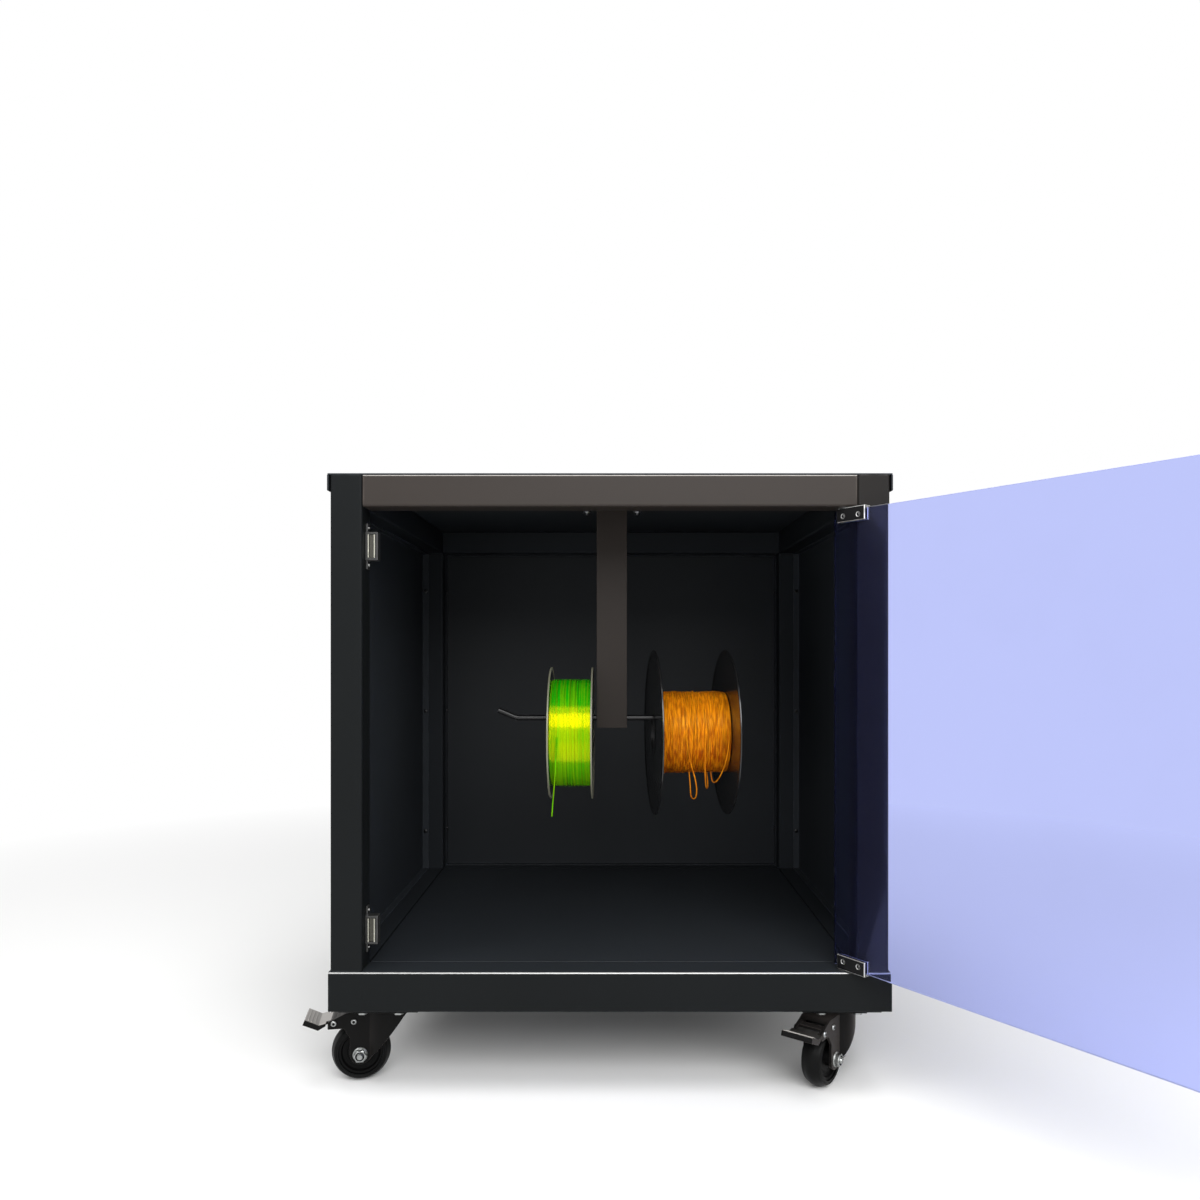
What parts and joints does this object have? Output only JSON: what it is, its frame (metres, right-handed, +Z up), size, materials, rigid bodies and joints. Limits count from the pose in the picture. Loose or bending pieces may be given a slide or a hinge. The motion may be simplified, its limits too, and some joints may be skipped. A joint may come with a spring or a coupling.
{
  "type": "filament dryer cabinet",
  "caption": "Tube-framed black steel cabinet on swivel casters that keeps filament spools dry on a hanging rod behind a tinted clear door, and carries a printer on its top.",
  "frame": {"origin": "on the floor under the middle of the cabinet", "axes": "+X to the right seen from the door side, +Y to the back, +Z up"},
  "size_m": [1.0391, 1.0872, 0.779],
  "materials": {
    "frame_paint": "satin black powder coat",
    "sheet_paint": "satin black powder coat on sheet",
    "black_screw": "blackened steel",
    "nylon": "matt nylon",
    "catch_plastic": "matt black moulding",
    "bright_steel": "bright zinc",
    "hanger_paint": "warm dark grey powder coat",
    "rod_steel": "blackened steel",
    "hinge_paint": "satin dark grey",
    "tinted_acrylic": "clear acrylic, tinted blue",
    "knob_plastic": "black moulding",
    "clear_flange": "clear moulding",
    "green_filament": "glossy green filament",
    "black_flange": "glossy black moulding",
    "orange_filament": "glossy orange filament",
    "caster_paint": "black paint over pressed steel",
    "wheel_plastic": "black nylon",
    "tyre_rubber": "black rubber tread"
  },
  "bodies": {
    "cabinet": {"base_front_rail": "frame_paint", "base_rear_rail": "frame_paint", "base_side_rails": "frame_paint", "corner_plates": "frame_paint", "left_front_post": "frame_paint", "right_front_post": "frame_paint", "rear_posts": "frame_paint", "top_front_rail": "frame_paint", "top_rear_rail": "frame_paint", "top_side_rails": "frame_paint", "left_side_panel": "sheet_paint", "right_side_panel": "sheet_paint", "back_panel": "sheet_paint", "floor_panel": "sheet_paint", "top_plate": "sheet_paint", "top_plate_lips": "sheet_paint", "panel_screws": "black_screw", "hinge_bushes": "nylon", "catch_cases": "catch_plastic", "catch_magnets": "bright_steel", "catch_screws": "bright_steel", "spool_hanger": "hanger_paint", "hanger_bolts": "bright_steel", "spool_rod": "rod_steel", "filament_guide": "nylon", "caster_plates": "caster_paint", "caster_bolts": "bright_steel"},
    "door": {"door_panel": "tinted_acrylic", "upper_hinge_clamp": "hinge_paint", "lower_hinge_clamp": "hinge_paint", "hinge_pins": "bright_steel", "hinge_set_screws": "bright_steel", "strike_plates": "bright_steel", "door_knob": "knob_plastic"},
    "green_spool": {"green_spool_flanges": "clear_flange", "green_spool_core": "clear_flange", "green_filament": "green_filament", "green_loose_strand": "green_filament"},
    "orange_spool": {"orange_spool_flanges": "black_flange", "orange_spool_core": "black_flange", "orange_filament": "orange_filament", "orange_loose_strand": "orange_filament"},
    "front_left_swivel": {"front_left_fork": "caster_paint", "front_left_axle": "bright_steel"},
    "front_left_wheel": {"front_left_wheel_core": "wheel_plastic", "front_left_tyre": "tyre_rubber"},
    "front_left_pedal": {"front_left_brake_pedal": "caster_paint"},
    "front_right_swivel": {"front_right_fork": "caster_paint", "front_right_axle": "bright_steel"},
    "front_right_wheel": {"front_right_wheel_core": "wheel_plastic", "front_right_tyre": "tyre_rubber"},
    "front_right_pedal": {"front_right_brake_pedal": "caster_paint"},
    "rear_left_swivel": {"rear_left_fork": "caster_paint", "rear_left_axle": "bright_steel"},
    "rear_left_wheel": {"rear_left_wheel_core": "wheel_plastic", "rear_left_tyre": "tyre_rubber"},
    "rear_right_swivel": {"rear_right_fork": "caster_paint", "rear_right_axle": "bright_steel"},
    "rear_right_wheel": {"rear_right_wheel_core": "wheel_plastic", "rear_right_tyre": "tyre_rubber"}
  },
  "joints": [
    {"name": "door_swing", "type": "hinge", "parent": "cabinet", "child": "door", "pos_m": [0.294, -0.291, 0.446], "axis": [0, 0, 1], "range_deg": [-125, 0]},
    {"name": "green_spool_spin", "type": "hinge", "parent": "cabinet", "child": "green_spool", "pos_m": [-0.0565, -0.093, 0.4366], "axis": [1, 0, 0], "continuous": true},
    {"name": "orange_spool_spin", "type": "hinge", "parent": "cabinet", "child": "orange_spool", "pos_m": [0.116, -0.093, 0.4376], "axis": [0.9976, 0.0698, 0], "continuous": true},
    {"name": "front_left_swivel_turn", "type": "hinge", "parent": "cabinet", "child": "front_left_swivel", "pos_m": [-0.292, -0.242, 0.09], "axis": [0, 0, 1], "continuous": true},
    {"name": "front_left_wheel_roll", "type": "hinge", "parent": "front_left_swivel", "child": "front_left_wheel", "pos_m": [-0.3245, -0.24773, 0.0375], "axis": [0.1736, -0.9848, 0], "continuous": true},
    {"name": "front_left_brake_press", "type": "hinge", "parent": "front_left_swivel", "child": "front_left_pedal", "pos_m": [-0.357, -0.25346, 0.0795], "axis": [0.1736, -0.9848, 0], "range_deg": [0, 26]},
    {"name": "front_right_swivel_turn", "type": "hinge", "parent": "cabinet", "child": "front_right_swivel", "pos_m": [0.292, -0.242, 0.09], "axis": [0, 0, 1], "continuous": true},
    {"name": "front_right_wheel_roll", "type": "hinge", "parent": "front_right_swivel", "child": "front_right_wheel", "pos_m": [0.27168, -0.268, 0.0375], "axis": [0.788, -0.6157, 0], "continuous": true},
    {"name": "front_right_brake_press", "type": "hinge", "parent": "front_right_swivel", "child": "front_right_pedal", "pos_m": [0.25137, -0.29401, 0.0795], "axis": [0.788, -0.6157, 0], "range_deg": [0, 26]},
    {"name": "rear_left_swivel_turn", "type": "hinge", "parent": "cabinet", "child": "rear_left_swivel", "pos_m": [-0.292, 0.242, 0.09], "axis": [0, 0, 1], "continuous": true},
    {"name": "rear_left_wheel_roll", "type": "hinge", "parent": "rear_left_swivel", "child": "rear_left_wheel", "pos_m": [-0.32114, 0.25749, 0.0375], "axis": [-0.4695, -0.8829, 0], "continuous": true},
    {"name": "rear_right_swivel_turn", "type": "hinge", "parent": "cabinet", "child": "rear_right_swivel", "pos_m": [0.292, 0.242, 0.09], "axis": [0, 0, 1], "continuous": true},
    {"name": "rear_right_wheel_roll", "type": "hinge", "parent": "rear_right_swivel", "child": "rear_right_wheel", "pos_m": [0.32215, 0.25542, 0.0375], "axis": [-0.4067, 0.9135, 0], "continuous": true}
  ]
}
